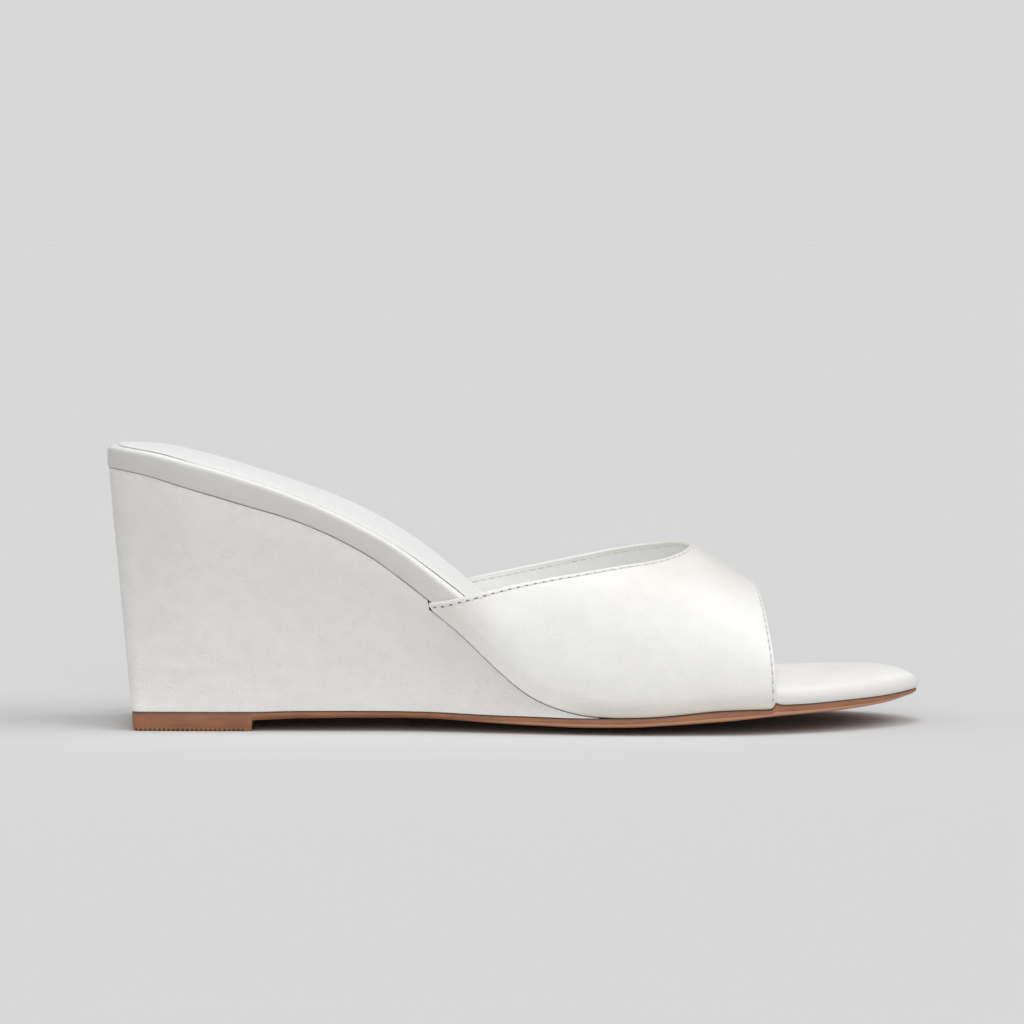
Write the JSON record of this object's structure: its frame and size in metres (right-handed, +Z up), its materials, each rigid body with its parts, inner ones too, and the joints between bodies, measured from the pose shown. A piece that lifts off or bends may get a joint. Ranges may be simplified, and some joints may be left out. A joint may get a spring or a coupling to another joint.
{
  "type": "wedge mule",
  "caption": "Open-toed slip-on mule with a covered wedge heel, one smooth vamp band, a padded insole and a thin moulded sole.",
  "frame": {"origin": "on the floor, under the middle of the shoe's box", "axes": "+X towards the toe, +Y towards the inner side of the foot, +Z up"},
  "size_m": [0.2354, 0.0796, 0.0818],
  "materials": {
    "sole_unit": "moulded tan sole unit, satin edge with a lighter slanted lower part",
    "wedge_cover": "smooth off-white cover with a fine grain, satin",
    "bed_cover": "smooth off-white wrap with a fine grain, satin",
    "sock_lining": "cool white matt lining",
    "vamp_leather": "smooth off-white leather with a fine grain, satin, stitched along its edges"
  },
  "bodies": {
    "root": {"outsole": "sole_unit", "wedge": "wedge_cover", "footbed": "bed_cover", "sock": "sock_lining", "upper": "vamp_leather"}
  },
  "joints": []
}
